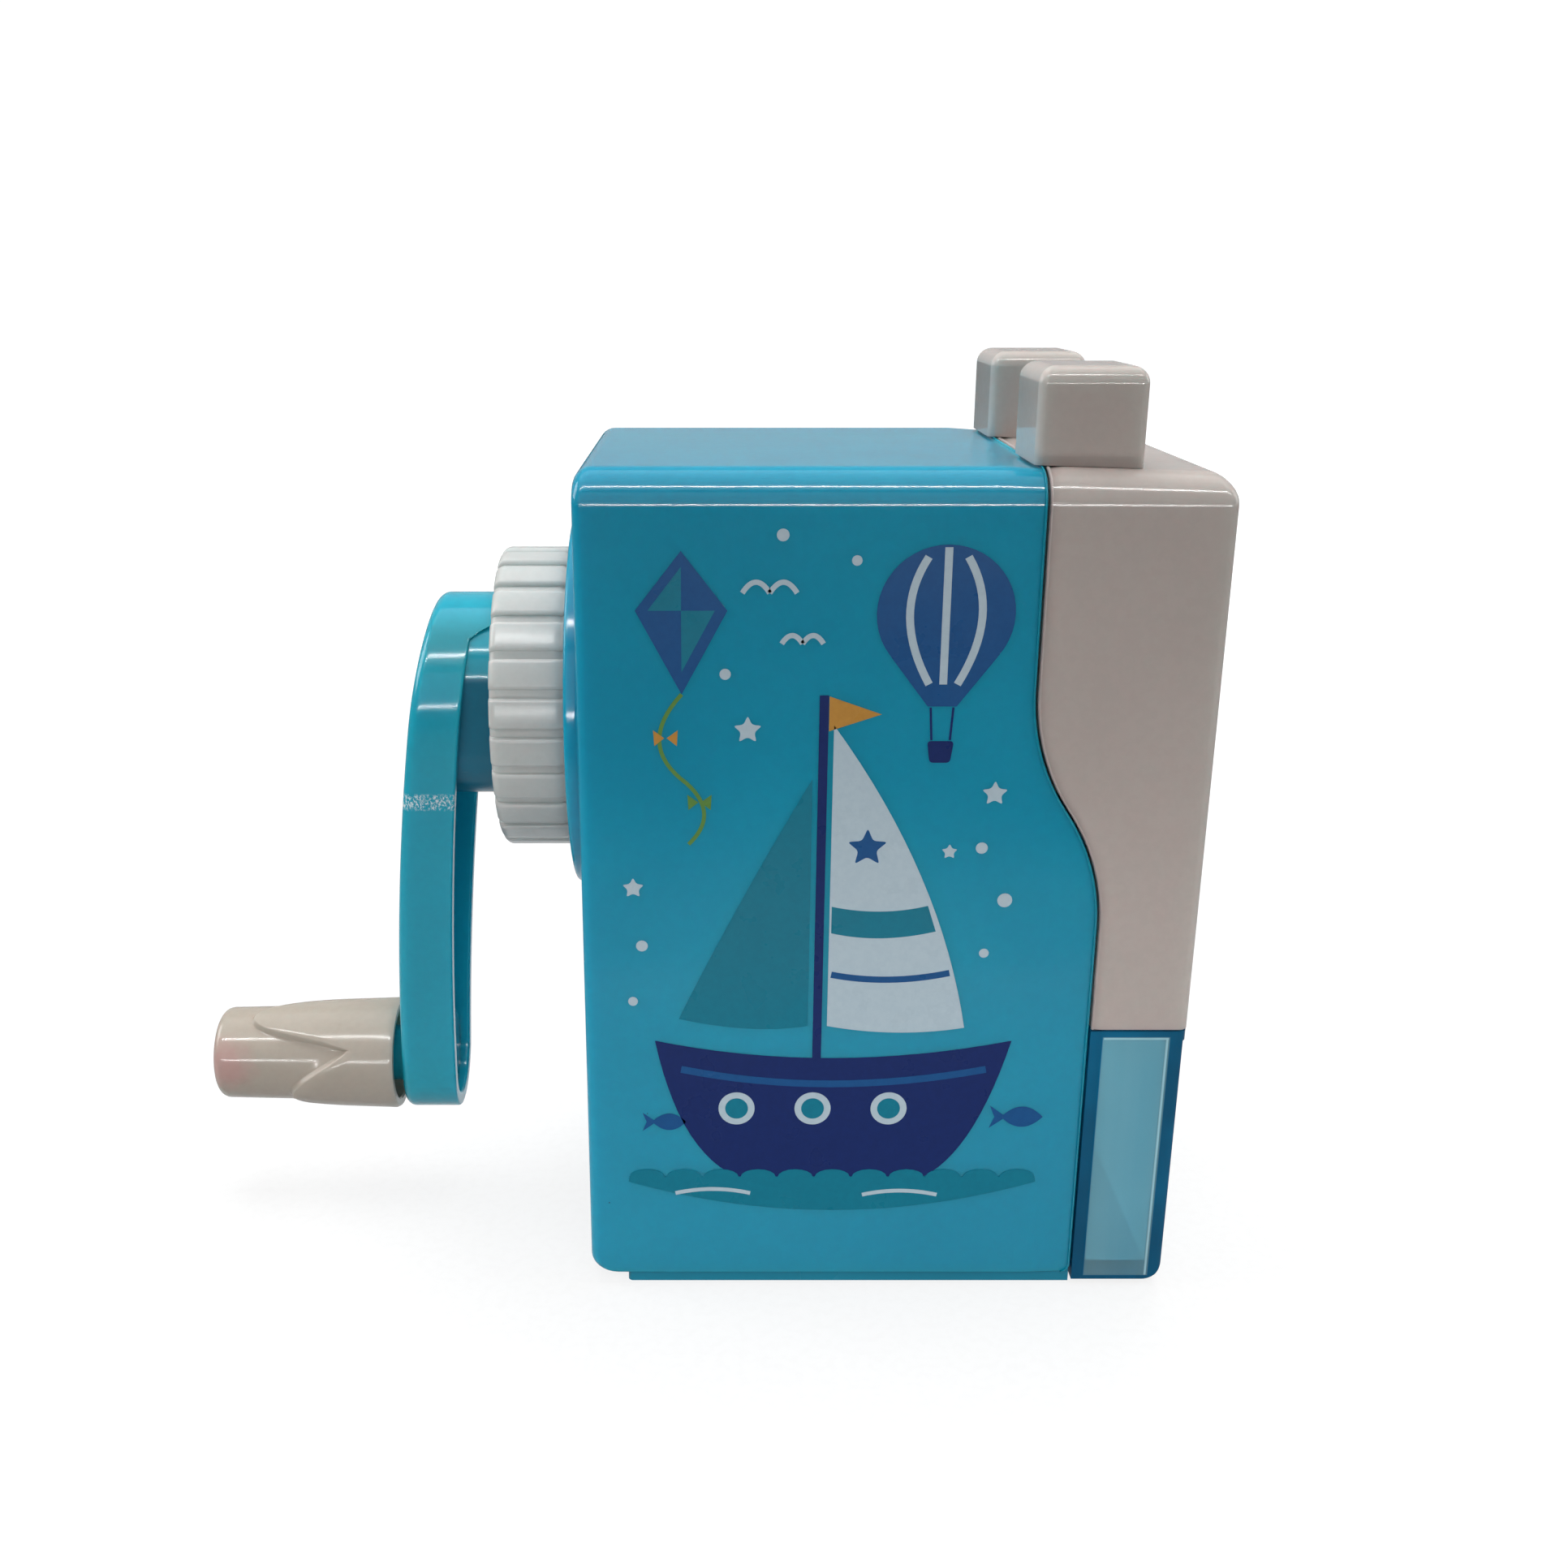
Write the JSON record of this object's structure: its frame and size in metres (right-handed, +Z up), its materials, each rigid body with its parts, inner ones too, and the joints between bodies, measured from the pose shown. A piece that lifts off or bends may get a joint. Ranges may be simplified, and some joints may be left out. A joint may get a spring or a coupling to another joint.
{
  "type": "crank pencil sharpener",
  "caption": "Hand-cranked desk pencil sharpener: box housing, spring-fed front clamp with squeeze tabs, clear pull-out shavings drawer, knurled collar, crank arm and turning grip.",
  "frame": {"origin": "middle of the base's underside, under the box body", "axes": "+X towards the pencil side, -X towards the crank, +Y across to the far side, +Z up"},
  "size_m": [0.1076, 0.0446, 0.0971],
  "materials": {
    "blue_shell": "glossy moulded plastic",
    "white_shell": "glossy moulded plastic",
    "collar_white": "moulded plastic with shallow grooves",
    "grip_white": "satin moulded plastic",
    "plinth_blue": "satin moulded plastic",
    "clear_blue": "transparent tinted plastic",
    "pad_rubber": "soft rubber",
    "steel": "zinc-plated",
    "tool_steel": "ground tool steel",
    "cast_metal": "die-cast",
    "spring_steel": "drawn wire"
  },
  "bodies": {
    "housing": {"main_body": "blue_shell", "front_bulkhead": "blue_shell", "base_plate": "plinth_blue", "base_screws": "steel", "bulkhead_screws": "steel", "feed_springs": "spring_steel"},
    "collar": {"knurled_collar": "collar_white", "ring_gear": "steel"},
    "crank": {"crank_shaft": "steel", "shaft_pin": "steel", "cutter_carrier": "cast_metal", "cutter_pin": "steel", "crank_arm": "blue_shell", "crank_screw": "steel", "grip_screw": "steel"},
    "cutter": {"helical_cutter": "tool_steel", "cutter_pinion": "steel"},
    "grip": {"grip": "grip_white"},
    "carriage": {"front_cover": "white_shell", "clamp_housing": "white_shell", "clamp_retainer": "white_shell", "clamp_screws": "steel", "guide_rods": "steel", "rod_washers": "steel", "rod_screws": "steel", "near_spring": "spring_steel", "far_spring": "spring_steel"},
    "near_clamp": {"near_tab": "white_shell", "near_jaw_pad": "pad_rubber"},
    "far_clamp": {"far_tab": "white_shell", "far_jaw_pad": "pad_rubber"},
    "drawer": {"shavings_drawer": "clear_blue"}
  },
  "joints": [
    {"name": "collar_twist", "type": "hinge", "parent": "housing", "child": "collar", "pos_m": [-0.0366, 0, 0.0606], "axis": [1, 0, 0], "range_deg": [-30, 0]},
    {"name": "crank_turn", "type": "hinge", "parent": "collar", "child": "crank", "pos_m": [-0.0366, 0, 0.0606], "axis": [1, 0, 0], "continuous": true},
    {"name": "cutter_spin", "type": "hinge", "parent": "crank", "child": "cutter", "pos_m": [-0.02355, 0, 0.0651], "axis": [0.9833, 0, 0.1822], "continuous": true},
    {"name": "grip_spin", "type": "hinge", "parent": "crank", "child": "grip", "pos_m": [-0.066, 0, 0.0166], "axis": [1, 0, 0], "continuous": true},
    {"name": "carriage_slide", "type": "slide", "parent": "housing", "child": "carriage", "axis": [1, 0, 0], "range_m": [0, 0.025], "stiffness_N_per_m": 70, "springref_m": -0.015, "deforming": ["feed_springs"]},
    {"name": "near_tab_squeeze", "type": "slide", "parent": "carriage", "child": "near_clamp", "axis": [0, 1, 0], "range_m": [0, 0.0035], "stiffness_N_per_m": 400, "springref_m": -0.004, "deforming": ["near_spring"]},
    {"name": "far_tab_squeeze", "type": "slide", "parent": "carriage", "child": "far_clamp", "axis": [0, -1, 0], "range_m": [0, 0.0035], "stiffness_N_per_m": 400, "springref_m": -0.004, "deforming": ["far_spring"]},
    {"name": "drawer_slide", "type": "slide", "parent": "housing", "child": "drawer", "axis": [1, 0, 0], "range_m": [0, 0.045]}
  ],
  "couplings": [
    {"joint": "cutter_spin", "follows": "crank_turn", "ratio": -1.9}
  ]
}
